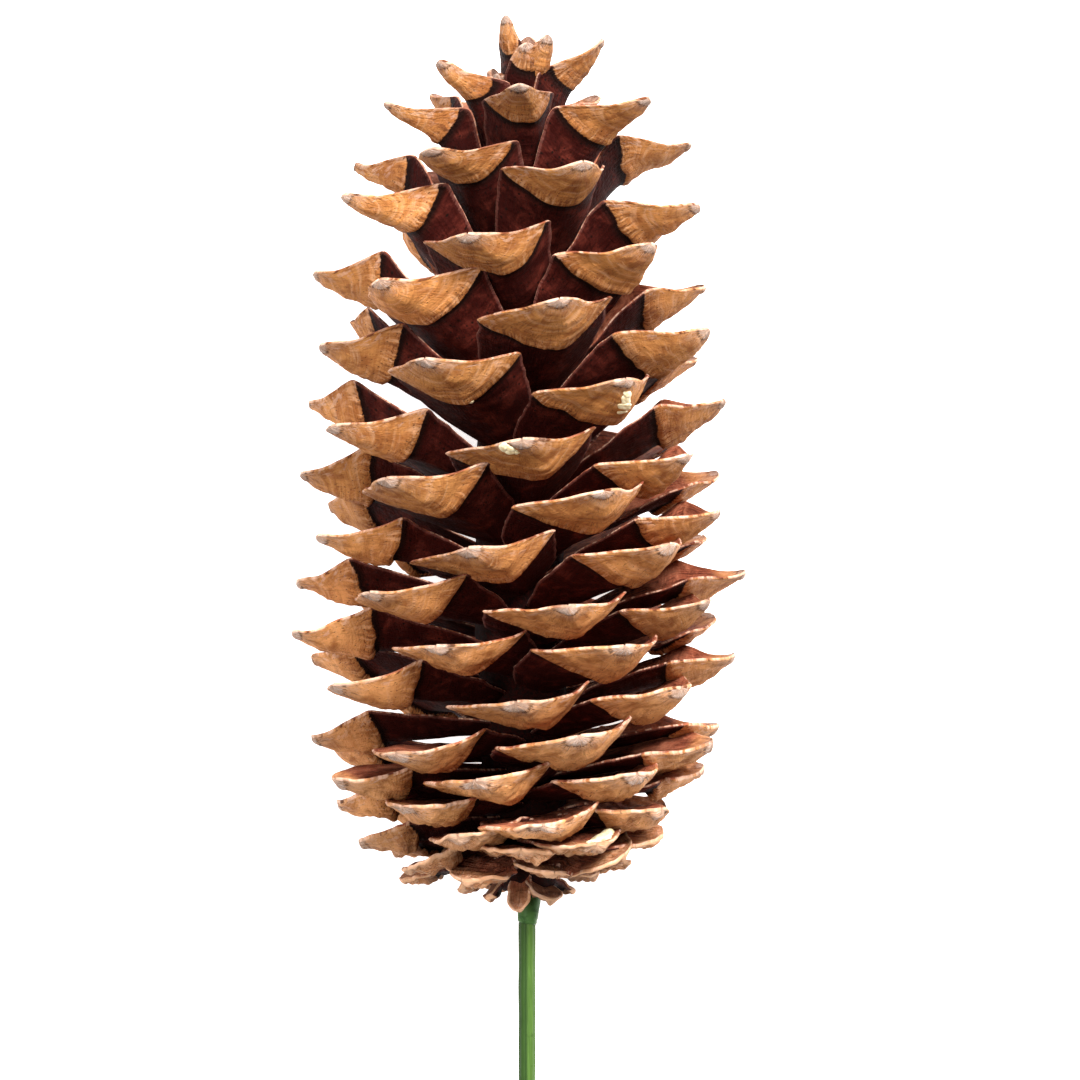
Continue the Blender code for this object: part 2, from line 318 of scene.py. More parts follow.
def ripples(x, y, wavelength, luck, waves=7):
    """Gentle random unevenness between about -1 and 1, with bumps about a wavelength apart."""
    total = 0
    for _ in range(waves):
        angle = luck.uniform(0, math.pi)
        rate = 2 * math.pi / wavelength * luck.uniform(0.6, 1.5)
        phase = luck.uniform(0, 2 * math.pi)
        total = total + np.sin(rate * (x * math.cos(angle) + y * math.sin(angle)) + phase)
    return total / math.sqrt(waves)


def axis_x(height):
    """How far the bowed core stands to one side at this height."""
    return -AXIS_BOW * np.sin(math.pi * np.maximum(height, 0.0) / AXIS_BOW_SPAN)


# The values of a scale that are read off its station
STATION_VALUES = {
    "cup": CUP_DEPTH,
    "bend": BACK_BEND,
    "droop": TIP_DROOP,
    "cup_kept": CUP_KEPT,
    "width_kept": WIDTH_KEPT,
    "round_border": ROUND_BORDER,
    "border_out": BORDER_OUT,
    "blunt": BLUNT,
    "thicker": THICKER,
    "border_step": BORDER_STEP,
    "rougher": ROUGHER,
}


def at_station(values, number):
    """A growth value of one scale, between those of the stations beside it."""
    return np.interp(number, STATION, values)


def scale_root(number):
    """Where a scale is rooted in the core, and how far it is from there to its tip."""
    tilt = math.radians(at_station(TILT, number))
    tip_radius = at_station(TIP_RADIUS, number)
    tip_height = at_station(TIP_HEIGHT, number)
    root_height = tip_height
    for _ in range(ROOT_ROUNDS):
        root_radius = ROOT_RADIUS_SHARE * np.interp(root_height, CORE_HEIGHT, CORE_RADIUS)
        reach = max(tip_radius - root_radius, LEAST_REACH)
        root_height = tip_height - reach * math.tan(tilt)
        root_height = min(max(root_height, LOWEST_ROOT), HIGHEST_ROOT)
    return root_radius, root_height, math.hypot(reach, tip_height - root_height)


def scale_angles(number, own_tilt, luck):
    """Which way a scale points, and how it is tilted and rolled, in degrees, with its own unevenness."""
    azimuth = MIDDLE_SCALE_AZIMUTH - TURN_PER_SCALE * number + luck.gauss(0, AZIMUTH_SPREAD)
    side = math.sin(math.radians(azimuth))
    tilt = at_station(TILT, number) + luck.gauss(0, TILT_SPREAD)
    roll = RIGHT_EDGE_RAISED + luck.gauss(0, ROLL_SPREAD)
    own_luck = random.Random(SEED * number)
    uneven = at_station(UNEVEN, number)
    tilt = tilt + own_tilt + at_station(RIGHT_SIDE_RAISED, number) * side
    tilt = tilt + at_station(LEFT_SIDE_RAISED, number) * max(-side, 0.0) ** 2
    tilt = tilt + own_luck.gauss(0, UNEVEN_TILT) * uneven
    roll = roll + own_luck.gauss(0, UNEVEN_ROLL) * uneven
    return azimuth, tilt, roll


def scale_size(number, luck):
    """The growth values of one scale, with its own unevenness."""
    own_tilt, longer, wider = OWN_GROWTH.get(number, (0.0, 1.0, 1.0))
    azimuth, tilt, roll = scale_angles(number, own_tilt, luck)
    root_radius, root_height, length = scale_root(number)
    length = length * (1 + luck.gauss(0, LENGTH_SPREAD))
    on_right = max(math.sin(math.radians(azimuth)), 0.0)
    size = {name: at_station(values, number) for name, values in STATION_VALUES.items()}
    size["azimuth"] = math.radians(azimuth)
    size["tilt"] = math.radians(tilt)
    size["roll"] = math.radians(roll)
    size["root_radius"] = root_radius
    size["root_height"] = root_height
    size["length"] = length * longer
    size["width"] = at_station(SCALE_WIDTH, number) * wider
    size["left_cup"] = at_station(LEFT_CUP, number) + RIGHT_SIDE_LEFT_CUP * on_right
    return size


def ring_layout():
    """Across a scale: the top from left to right, the right margin, the underside back, the left margin."""
    over = np.linspace(-1, 1, ACROSS)
    across = np.concatenate([over, [1], over[::-1], [-1]])
    upper = np.concatenate([np.ones(ACROSS), [0.5], np.zeros(ACROSS), [0.5]])
    margin = np.zeros(len(across))
    margin[[ACROSS, -1]] = 1
    return across, upper, margin


RING_ACROSS, RING_UPPER, RING_MARGIN = ring_layout()
ROW_ALONG = np.interp(np.linspace(0, 1, ROWS), ROW_SHARE, ROW_PLACE)


def down_the_rows(shares):
    """A row of shares along a scale as a smooth curve, one value for each of its rows."""
    return curve_through(FINE_ALONG, shares, ROW_ALONG)[:, None]


def half_width(size, along, luck):
    """Half the scale's width at each row, with an uneven margin, and what its tip's rounding leaves of it."""
    u = ROW_ALONG[:, None]
    shares = mixed(FINE_HALF_WIDTH, BLUNT_HALF_WIDTH, size["blunt"])
    half = np.interp(ROW_ALONG, FINE_ALONG, shares)[:, None] + down_the_rows(shares)
    half = half * size["width"] * size["width_kept"] / 4
    rough = MARGIN_UNEVEN + MARGIN_ROUGH * size["rougher"]
    half = half * (1 + rough * ripples(along, 0 * along, MARGIN_RIPPLE, luck) * smooth_step(u * 4))
    past = np.clip((u - TIP_ROUNDING_START) / TIP_ROUNDING_LENGTH, 0, 1)
    tip_round = np.sqrt(np.clip(1 - (past * TIP_ROUNDING) ** 2, 0, 1))
    return half * tip_round, tip_round


def place_off_keel(luck):
    """How far each point lies from the keel, up to 1 at each margin, and whether it lies right of it."""
    v = RING_ACROSS[None, :]
    keel_side = min(max(luck.gauss(KEEL_SIDE, KEEL_SIDE_SPREAD), 0.0), MOST_KEEL_SIDE)
    right = v > keel_side
    return np.where(right, (v - keel_side) / (1 - keel_side), (keel_side - v) / (1 + keel_side)), right


def upper_face(size, along, across, off_keel, right, luck):
    """The height of the scale's upper face: its cup, curled corner, bend, drooping tip and gentle waves."""
    u = ROW_ALONG[:, None]
    cup = down_the_rows(FINE_CUP) * size["cup"] * size["cup_kept"]
    bend = down_the_rows(FINE_BEND) * size["bend"]
    rise = down_the_rows(FINE_RISE) * size["cup"]
    left_up = size["left_cup"] * off_keel**LEFT_ROUNDNESS
    right_up = RIGHT_CUP * off_keel ** (RIGHT_ROUNDNESS + ROUNDER_RIGHT * size["round_border"])
    curl = RIGHT_CORNER_CURL * np.exp(-(((u - CORNER_ALONG) / CORNER_CURL_REACH) ** 2)) * off_keel**2
    waves = WAVE_HEIGHT * ripples(along, across, WAVE_LENGTH, luck)
    dents = DENT_HEIGHT * size["rougher"] * ripples(along, across, DENT_LENGTH, luck)
    droop = size["droop"] * smooth_step((u - DROOP_START) / DROOP_LENGTH)
    cupped = cup * np.where(right, right_up + curl, left_up)
    return bend + rise - droop + cupped + (waves + dents) * smooth_step(u * 3)


def distance_past_border(size, across, off_keel, right, luck):
    """How far each point lies past the border of the outer part, towards the tip."""
    roundness = size["round_border"]
    to_left = BORDER_TO_LEFT * off_keel ** (BORDER_LEFT_CURVE + BORDER_LEFT_ROUNDER * roundness)
    to_right = BORDER_TO_RIGHT * off_keel ** (BORDER_RIGHT_CURVE + BORDER_RIGHT_ROUNDER * roundness)
    border = BORDER_AT_KEEL + size["border_out"] + np.where(right, to_right, to_left)
    border = border + BORDER_UNEVEN * ripples(across, 0 * across, BORDER_RIPPLE, luck)
    return (ROW_ALONG[:, None] - border) * (size["length"] + ROOT_DEPTH)


def thickness(size, past_border, from_umbo, off_keel, tip_round):
    """How thick the scale is: thin at its margins, full at its keel, stepped at its border, with an umbo."""
    roundness = size["round_border"]
    keel = max(KEEL_THICKNESS_PER_WIDTH * size["width"], LEAST_KEEL_THICKNESS) * size["thicker"]
    middle = down_the_rows(mixed(FINE_KEEL, BLUNT_KEEL, size["blunt"])) * keel
    edge = MARGIN_THICKNESS * (1 + size["blunt"])
    thinned = off_keel ** (KEEL_ROUNDNESS + ROUNDER_KEEL * roundness)
    thick = edge + np.maximum(middle - edge, 0) * (1 - thinned)
    step = smooth_step(past_border / BORDER_STEP_LENGTH + BORDER_STEP_START) * short_of_tip()
    thick = thick + size["border_step"] * keel * step * (1 - off_keel ** (BORDER_STEP_ROUNDNESS + roundness))
    groove = np.exp(-(((from_umbo - UMBO_GROOVE_PLACE) / UMBO_GROOVE_WIDTH) ** 2))
    thick = thick + UMBO_THICKNESS * umbo_form(from_umbo) - UMBO_GROOVE * groove
    return thick * (TIP_THICKNESS_KEPT + (1 - TIP_THICKNESS_KEPT) * tip_round)


def umbo_form(from_umbo):
    """1 on the umbo and 0 away from it."""
    return np.exp(-(from_umbo**4))


def short_of_tip():
    """1 along most of a scale, fading to 0 at its tip."""
    return 1 - np.clip((ROW_ALONG[:, None] - STEP_FADE_START) / STEP_FADE_LENGTH, 0, 1)


def outer_relief(size, along, across, past_border, luck):
    """The lumps, growth arcs and folds on the underside of the outer part, which start at its border."""
    v = RING_ACROSS[None, :]
    rougher = size["rougher"]
    lumps = ripples(along, across, LUMP_LENGTH, luck) * LUMP_HEIGHT
    lumps = lumps + ripples(along, across, FINE_LUMP_LENGTH, luck) * FINE_LUMP_HEIGHT
    wander = ARC_WANDER * ripples(across, 0 * across, ARC_WANDER_LENGTH, luck)
    arcs = ARC_HEIGHT * np.sin(past_border / ARC_LENGTH * 2 * math.pi + wander)
    arcs = arcs * smooth_step(past_border / RELIEF_START) * short_of_tip()
    folds = ripples(v, 0 * v, FOLD_SPACING, luck) * FOLD_HEIGHT * np.exp(-((past_border / FOLD_REACH) ** 2))
    relief = lumps * (1 + ROUGHER_LUMPS * rougher) + arcs + folds
    return relief * smooth_step(past_border / RELIEF_START + rougher)


def shape_scale(size, luck):
    """One scale lying level, as rows of rings, with the values that colour it."""
    u = ROW_ALONG[:, None]
    v = RING_ACROSS[None, :]
    span = size["length"] + ROOT_DEPTH
    along = u * span - ROOT_DEPTH
    half, tip_round = half_width(size, along, luck)
    across = v * (half - MARGIN_ROUNDING) + np.sign(v) * RING_MARGIN * MARGIN_ROUNDING * MARGIN_BULGE
    off_keel, right = place_off_keel(luck)
    top = upper_face(size, along, across, off_keel, right, luck)
    past_border = distance_past_border(size, across, off_keel, right, luck)
    from_tip = (1 - u) * span
    from_umbo = np.hypot(across / UMBO_HALF_WIDTH, (from_tip - UMBO_FROM_TIP) / UMBO_LENGTH)
    thick = thickness(size, past_border, from_umbo, off_keel, tip_round)
    relief = outer_relief(size, along, across, past_border, luck)
    under = top - thick + relief * (1 - np.abs(v) ** 4)
    up = under + RING_UPPER * (top + UMBO_ON_TOP * UMBO_THICKNESS * umbo_form(from_umbo) - under)
    values = {
        "past_border": past_border * MILLIMETRES,
        "from_tip": from_tip * MILLIMETRES,
        "from_umbo": from_umbo,
        "from_margin": np.minimum((1 - np.abs(v)) * half, from_tip) * MILLIMETRES,
        "across_share": v,
        "upper": RING_UPPER[None, :],
    }
    values = {key: value + 0 * across for key, value in values.items()}
    return along + 0 * v, across, up, values


def stand_in_place(size, along, across, up):
    """Points of a level scale, moved to where the scale grows on the core."""
    up = up + across * math.tan(size["roll"])
    out = size["root_radius"] + along * math.cos(size["tilt"]) - up * math.sin(size["tilt"])
    height = size["root_height"] + along * math.sin(size["tilt"]) + up * math.cos(size["tilt"])
    sine, cosine = math.sin(size["azimuth"]), math.cos(size["azimuth"])
    x = axis_x(size["root_height"]) + out * sine + across * cosine
    y = -out * cosine + across * sine
    return np.stack([x, y, height], axis=-1)


def bend_off_surface(points):
    """The scales under the cone bend until their tips only just press into the surface it lies on."""
    share = (ROW_ALONG**2)[:, None, None]
    for _ in range(BEND_ROUNDS):
        past = (points @ DOWN).max() - REST_DISTANCE - FLAT_SPOT_DEPTH
        if past <= 0:
            break
        points = points - DOWN * past * share
    return points


def rest_on_floor(points):
    points[..., 2] = np.maximum(points[..., 2], 0.0)
    return points


def grow_scales():
    """Every scale of the cone: its points in the scene and its values."""
    luck = random.Random(SEED)
    scales = []
    for number in range(FIRST_SCALE, LAST_SCALE + 1):
        size = scale_size(number, luck)
        own_luck = random.Random(SCALE_SEED + number)
        along, across, up, values = shape_scale(size, own_luck)
        points = bend_off_surface(stand_in_place(size, along, across, up))
        points = rest_on_floor(to_scene(points))
        grown = (number - FIRST_SCALE) / (LAST_SCALE - FIRST_SCALE)
        sideways = values["across_share"] * size["width"] * MILLIMETRES / 2
        apart = 0 * along + own_luck.uniform(0, GRAIN_APART)
        grain = np.stack([sideways, along * MILLIMETRES, apart], axis=-1)
        values["grain"] = grain
        values["arcs"] = np.stack([grain[..., 0], values["past_border"], grain[..., 2]], axis=-1)
        values["luck"] = 0 * along + own_luck.random()
        values["grown"] = 0 * along + grown
        scales.append({"points": points, "values": values})
    return scales


def scale_faces():
    """Faces of one scale and their places in its cell of the bake map, shared by all scales."""
    ring = len(RING_ACROSS)
    rows, steps = np.meshgrid(np.arange(ROWS - 1), np.arange(ring), indexing="ij")
    rows, steps = rows.ravel(), steps.ravel()
    beside = (steps + 1) % ring
    here, there = rows * ring, (rows + 1) * ring
    faces = np.stack([here + steps, here + beside, there + beside, there + steps], axis=1)
    left, right = steps / ring, (steps + 1) / ring
    low, high = rows / ROWS, (rows + 1) / ROWS
    places = np.stack([[left, low], [right, low], [right, high], [left, high]]).transpose(2, 0, 1)
    return faces, places


def end_faces():
    """The caps of a scale's root and tip, as strips between its top and its underside."""
    ring = len(RING_ACROSS)
    faces, places = [], []
    low = (ROWS - 1 + END_STRIP_START) / ROWS
    high = low + END_STRIP_WIDTH / ROWS
    for start, turned in ((0, False), ((ROWS - 1) * ring, True)):
        pairs = [(i, 2 * ACROSS - i) for i in range(ACROSS)]
        strip = [(2 * ACROSS + 1, 2 * ACROSS + 1)] + pairs + [(ACROSS, ACROSS)]
        for k in range(len(strip) - 1):
            a, b = strip[k]
            c, d = strip[k + 1]
            corners = [a, c, d, b]
            place = [[a / ring, low], [c / ring, low], [d / ring, high], [b / ring, high]]
            keep = [j for j in range(4) if corners[j] not in corners[:j]]
            face = [start + corners[j] for j in keep]
            faces.append(face if turned else face[::-1])
            placed = [place[j] for j in keep]
            places.append(placed if turned else placed[::-1])
    return faces, places


def add_object(name, data):
    """A new object in the scene, made of this data."""
    obj = bpy.data.objects.new(name, data)
    bpy.context.scene.collection.objects.link(obj)
    return obj


def make_scales_piece(name, scales):
    """One object holding several scales, with their values as attributes and a map for baking."""
    body, body_places = scale_faces()
    ends, end_places = end_faces()
    count = ROWS * len(RING_ACROSS)
    verts = np.concatenate([s["points"].reshape(-1, 3) for s in scales])
    faces, uvs = [], []
    for i in range(len(scales)):
        cell = np.array([i % ATLAS_CELLS, i // ATLAS_CELLS])
        faces += (body + i * count).tolist()
        uvs.append(((body_places * CELL_FILL + CELL_MARGIN + cell) / ATLAS_CELLS).reshape(-1, 2))
        faces += [[k + i * count for k in face] for face in ends]
        uvs += [(np.array(place) * CELL_FILL + CELL_MARGIN + cell) / ATLAS_CELLS for place in end_places]
    mesh = bpy.data.meshes.new(name)
    mesh.from_pydata(verts.tolist(), [], faces)
    mesh.uv_layers.new(name="OFBake").data.foreach_set("uv", np.concatenate(uvs).ravel())
    for key in scales[0]["values"]:
        data = np.concatenate([s["values"][key].reshape(count, -1) for s in scales])
        kind = "FLOAT_VECTOR" if data.shape[1] == 3 else "FLOAT"
        field = "vector" if data.shape[1] == 3 else "value"
        mesh.attributes.new(key, kind, "POINT").data.foreach_set(field, data.ravel())
    mesh.shade_smooth()
    return add_object(name, mesh)


def make_mesh_piece(name, verts, faces, attributes=()):
    """A smooth-shaded object from points in the scene's frame."""
    mesh = bpy.data.meshes.new(name)
    mesh.from_pydata(np.asarray(verts).reshape(-1, 3).tolist(), [], faces)
    for key, data in attributes:
        mesh.attributes.new(key, "FLOAT", "POINT").data.foreach_set("value", np.asarray(data).ravel())
    mesh.shade_smooth()
    return add_object(name, mesh)


def turned_faces(rows, sides):
    """Quads that join rows of points round an axis, and a flat cap on each end."""
    faces = []
    for i in range(rows - 1):
        for j in range(sides):
            k = (j + 1) % sides
            faces.append([i * sides + j, i * sides + k, (i + 1) * sides + k, (i + 1) * sides + j])
    faces.append(list(range(sides))[::-1])
    faces.append([(rows - 1) * sides + j for j in range(sides)])
    return faces


def turns(points):
    """The turn of each point round the axis."""
    return np.linspace(0, 2 * math.pi, points, endpoint=False)[None, :]


def make_turned_piece(name, shift, radius, height, turn, values=()):
    """An object with rows of points round the cone's axis, shifted to the right."""
    x, y = shift + radius * np.cos(turn), radius * np.sin(turn)
    points = to_scene(np.stack([x, y, height + 0 * turn], axis=-1))
    return make_mesh_piece(name, points, turned_faces(*points.shape[:2]), values)


# The woody core
CORE_ROWS = 90
CORE_POINTS = 72
CORE_UNEVEN = 0.0003
CORE_RIPPLE = 0.006
CORE_RIPPLE_ROUND = 0.01


def make_core():
    """The core that the scales grow from, with the rough skin left between them."""
    luck = random.Random(SEED + 1)
    height = np.linspace(CORE_HEIGHT[0], CORE_HEIGHT[-1], CORE_ROWS)[:, None]
    turn = turns(CORE_POINTS)
    rough = CORE_UNEVEN * ripples(height, turn * CORE_RIPPLE_ROUND, CORE_RIPPLE, luck)
    radius = curve_through(CORE_HEIGHT, CORE_RADIUS, height) + rough
    return make_turned_piece("cone_core", axis_x(height), radius, height, turn)


# The sheath's finer form: its flutes, its slight unevenness, its softened cut end and its neck in the collar
STEM_POINTS = 96
SHEATH_ROWS = 60
FLUTE_ROUNDNESS = 0.5
SHEATH_UNEVEN = 0.00004
SHEATH_RIPPLE = 0.012
SHEATH_RIPPLE_ROUND = 0.002
CUT_END_ROWS = [0.0, 0.00015, 0.0004]
CUT_END_ROUNDING = 0.0003
SHEATH_NECK = 0.0020
NECK_TAPER = 0.001
NECK_DEPTH = 0.0004

# The collar's finer form: how it leans and slants, its two lips, its slight unevenness and its softened ends
COLLAR_ROWS = 44
COLLAR_SHIFT = 0.0008
COLLAR_SHIFT_CURVE = 0.8
COLLAR_SLANT = 0.0010
COLLAR_OVERLAP = 0.0006
LIP_PLACES = (0.04, 0.93)
LIP_WIDTH = 0.05
LIP_HEIGHT = 0.00018
COLLAR_UNEVEN = 0.00005
COLLAR_RIPPLE = 0.004
COLLAR_RIPPLE_ALONG = 0.01
COLLAR_RIPPLE_ROUND = 0.003
COLLAR_END_START = 0.93
COLLAR_END_SOFTNESS = 0.0055
COLLAR_END_KEPT = 0.9


def make_sheath():
    """The ribbed plastic sheath, a little uneven along its length and softened at its cut end."""
    luck = random.Random(SEED + 2)
    bottom = -STEM_LENGTH
    top = -2 * GAP - COLLAR_LENGTH
    cut_end = [bottom + along for along in CUT_END_ROWS]
    height = np.linspace(bottom, top + SHEATH_NECK, SHEATH_ROWS)
    height = np.concatenate([cut_end, height[1:]])[:, None]
    turn = turns(STEM_POINTS)
    ridge = np.abs(np.cos(turn * SHEATH_FLUTES / 2)) ** FLUTE_ROUNDNESS
    radius = SHEATH_GROOVE_RADIUS + (SHEATH_RIDGE_RADIUS - SHEATH_GROOVE_RADIUS) * ridge
    radius = radius + SHEATH_UNEVEN * ripples(height, turn * SHEATH_RIPPLE_ROUND, SHEATH_RIPPLE, luck)
    ends = [cut_end[0], cut_end[-1], top, top + NECK_TAPER]
    radius = radius - np.interp(height, ends, [CUT_END_ROUNDING, 0, 0, NECK_DEPTH])
    values = [("groove", 1 - ridge + 0 * height), ("to_right", np.cos(turn) + 0 * height)]
    return make_turned_piece("sheath", 0.0, radius, height, turn, values)


def make_collar():
    """The moulded collar, fuller on its right side, with a slanted lower lip."""
    luck = random.Random(SEED + 3)
    share = np.linspace(0, 1, COLLAR_ROWS)[:, None]
    turn = turns(STEM_POINTS)
    radius = curve_through(COLLAR_HEIGHT, COLLAR_RADIUS, share)
    lips = sum(np.exp(-(((share - place) / LIP_WIDTH) ** 2)) for place in LIP_PLACES)
    past = np.clip(np.abs(share - 0.5) * 2 - COLLAR_END_START, 0, 1)
    end = np.sqrt(np.clip(1 - past**2 / COLLAR_END_SOFTNESS, 0, 1))
    rough = ripples(share * COLLAR_RIPPLE_ALONG, turn * COLLAR_RIPPLE_ROUND, COLLAR_RIPPLE, luck)
    radius = (radius + LIP_HEIGHT * lips) * (COLLAR_END_KEPT + (1 - COLLAR_END_KEPT) * end)
    radius = radius + COLLAR_UNEVEN * rough
    slant = COLLAR_SLANT * (1 - share) * (0.5 - 0.5 * np.cos(turn))
    height = -GAP - (COLLAR_LENGTH + COLLAR_OVERLAP) * (1 - share) + slant
    shift = COLLAR_SHIFT * share**COLLAR_SHIFT_CURVE
    return make_turned_piece("collar", shift, radius, height, turn)


# Drops that hang on the cone, by their column and row in the photograph and their half-length in millimetres
RESIN_DROPS = [
    (505, 447, 2.3),
    (511, 450, 2.2),
    (516, 452, 1.3),
    (627, 394, 1.6),
    (626, 400, 1.9),
    (624, 406, 2.0),
    (622, 412, 1.6),
    (472, 402, 0.8),
    (594, 842, 2.2),
    (600, 839, 3.6),
    (606, 835, 3.4),
    (390, 115, 1.2),
]
GLUE_DROPS = [(543, 878, 1.8), (547, 881, 1.1)]

# A drop's half-length, half-width and half-height for each millimetre of its size, and how lumpy it is
DROP_SPREAD = (0.001, 0.00080, 0.00038)
DROP_LUMPS = (0.16, 0.12)


def seen_point(tree, column, row):
    """Where the camera's line through a pixel of the photograph meets the cone, and how it faces there."""
    aim = Vector(((column - STEM_COLUMN) * PIXEL, 0.0, (BASE_ROW - row) * PIXEL))
    start = LYING @ camera_place()
    onward = (LYING @ aim - start).normalized()
    place, normal, _, _ = tree.ray_cast(start, onward)
    return place, normal


def add_drop(mesh, place, normal, size, luck):
    """One flattened, lumpy drop, set on the surface at a place."""
    if normal.z < 0:
        normal = -normal
    turn = normal.to_track_quat("Z", "Y").to_matrix().to_4x4()
    spread = Matrix.Diagonal((*(size * share for share in DROP_SPREAD), 1))
    spin = Matrix.Rotation(luck.uniform(0, math.pi), 4, "Z")
    drop = bmesh.ops.create_icosphere(mesh, subdivisions=4, radius=1.0)["verts"]
    phase = luck.uniform(0, 9)
    first, second = DROP_LUMPS
    for vert in drop:
        x, y, z = vert.co
        vert.co *= 1 + first * math.sin(3 * x + phase) + second * math.sin(4 * y - 2 * z + phase)
        vert.co = Matrix.Translation(place) @ turn @ spin @ spread @ vert.co


def make_drops(name, drops, tree, seed):
    """Small drops of dried resin or glue, each where the photograph shows it."""
    luck = random.Random(seed)
    mesh = bmesh.new()
    for column, row, size in drops:
        place, normal = seen_point(tree, column, row)
        if place is not None:
            add_drop(mesh, place, normal, size, luck)
    data = bpy.data.meshes.new(name)
    mesh.to_mesh(data)
    mesh.free()
    data.shade_smooth()
    return add_object(name, data)


# Small calls that build a material's nodes
def plug(tree, socket, value):
    """Link a socket to another node's output, or set it to a number or colour."""
    if isinstance(value, bpy.types.NodeSocket):
        tree.links.new(value, socket)
    elif isinstance(value, tuple) and len(value) == 3 and socket.type == "RGBA":
        socket.default_value = (*value, 1.0)
    else:
        socket.default_value = value


def attribute(tree, name, output="Fac"):
    node = tree.nodes.new("ShaderNodeAttribute")
    node.attribute_name = name
    return node.outputs[output]


def own_place(tree):
    return tree.nodes.new("ShaderNodeTexCoord").outputs["Object"]


def number(tree, operation, *values):
    node = tree.nodes.new("ShaderNodeMath")
    node.operation = operation
    for socket, value in zip(node.inputs, values):
        plug(tree, socket, value)
    return node.outputs[0]


def times(tree, vector, scale):
    node = tree.nodes.new("ShaderNodeVectorMath")
    node.operation = "MULTIPLY"
    plug(tree, node.inputs[0], vector)
    node.inputs[1].default_value = scale
    return node.outputs[0]


def between(tree, value, low, high, start=0.0, end=1.0):
    """A smooth change from start to end as the value goes from low to high."""
    node = tree.nodes.new("ShaderNodeMapRange")
    node.interpolation_type = "SMOOTHSTEP"
    amounts = {"Value": value, "From Min": low, "From Max": high, "To Min": start, "To Max": end}
    for name, amount in amounts.items():
        plug(tree, node.inputs[name], amount)
    return node.outputs["Result"]


def noise(tree, vector, scale, detail=3.0, roughness=0.55, distortion=0.0):
    node = tree.nodes.new("ShaderNodeTexNoise")
    plug(tree, node.inputs["Vector"], vector)
    node.inputs["Scale"].default_value = scale
    node.inputs["Detail"].default_value = detail
    node.inputs["Roughness"].default_value = roughness
    node.inputs["Distortion"].default_value = distortion
    return node.outputs["Fac"]


def cells(tree, vector, scale):
    """The distance to the nearest of many scattered points."""
    node = tree.nodes.new("ShaderNodeTexVoronoi")
    plug(tree, node.inputs["Vector"], vector)
    node.inputs["Scale"].default_value = scale
    return node.outputs["Distance"]


def blend(tree, share, a, b, kind="MIX"):
    node = tree.nodes.new("ShaderNodeMix")
    node.data_type = "RGBA"
    node.blend_type = kind
    node.clamp_factor = True
    plug(tree, node.inputs[0], share)
    plug(tree, node.inputs[6], a)
    plug(tree, node.inputs[7], b)
    return node.outputs[2]


def new_material(name):
    material = bpy.data.materials.new(name)
    material.use_nodes = True
    return material, material.node_tree, material.node_tree.nodes["Principled BSDF"]


def paint(tree, shader, colour, roughness, specular=0.5):
    plug(tree, shader.inputs["Base Color"], colour)
    plug(tree, shader.inputs["Roughness"], roughness)
    plug(tree, shader.inputs["Specular IOR Level"], specular)


def add_bump(tree, shader, height, distance, strength=1.0):
    node = tree.nodes.new("ShaderNodeBump")
    plug(tree, node.inputs["Height"], height)
    node.inputs["Distance"].default_value = distance
    node.inputs["Strength"].default_value = strength
    tree.links.new(node.outputs[0], shader.inputs["Normal"])


# Colours, as linear light
TAN = (0.575, 0.243, 0.072)
TAN_DEEP = (0.330, 0.116, 0.033)
TAN_DARK = (0.145, 0.046, 0.017)
TAN_PALE = (0.730, 0.400, 0.205)
# Painted light: the brighter tan of the lower rows
TAN_LIT_LOW_ROWS = (0.710, 0.325, 0.125)
# Pale pink: partly wear, partly a painted highlight
PALE_WEAR_AND_HIGHLIGHT = (0.70, 0.460, 0.340)
# Painted highlight: the pale colour of a thin lit line along the scales' margins
RIM_HIGHLIGHT = (0.76, 0.470, 0.330)
UMBO_GREY = (0.30, 0.190, 0.140)
UMBO_PALE = (0.68, 0.530, 0.450)
SPECK = (0.030, 0.014, 0.010)
DARK = (0.030, 0.0036, 0.0024)
DARK_LIGHT = (0.118, 0.0210, 0.0130)
# Painted highlight: the colour of a thin lit line along the claws' margins
CLAW_RIM_HIGHLIGHT = (0.150, 0.052, 0.040)
BAND = (0.008, 0.003, 0.002)
FACE = (0.27, 0.072, 0.036)
FACE_LIGHT = (0.46, 0.160, 0.085)
FACE_DEEP = (0.075, 0.018, 0.010)
FACE_YOUNG = (0.60, 0.240, 0.145)
BASAL = (0.50, 0.200, 0.082)
BASAL_DARK = (0.060, 0.021, 0.010)
BASAL_PALE = (0.76, 0.420, 0.230)

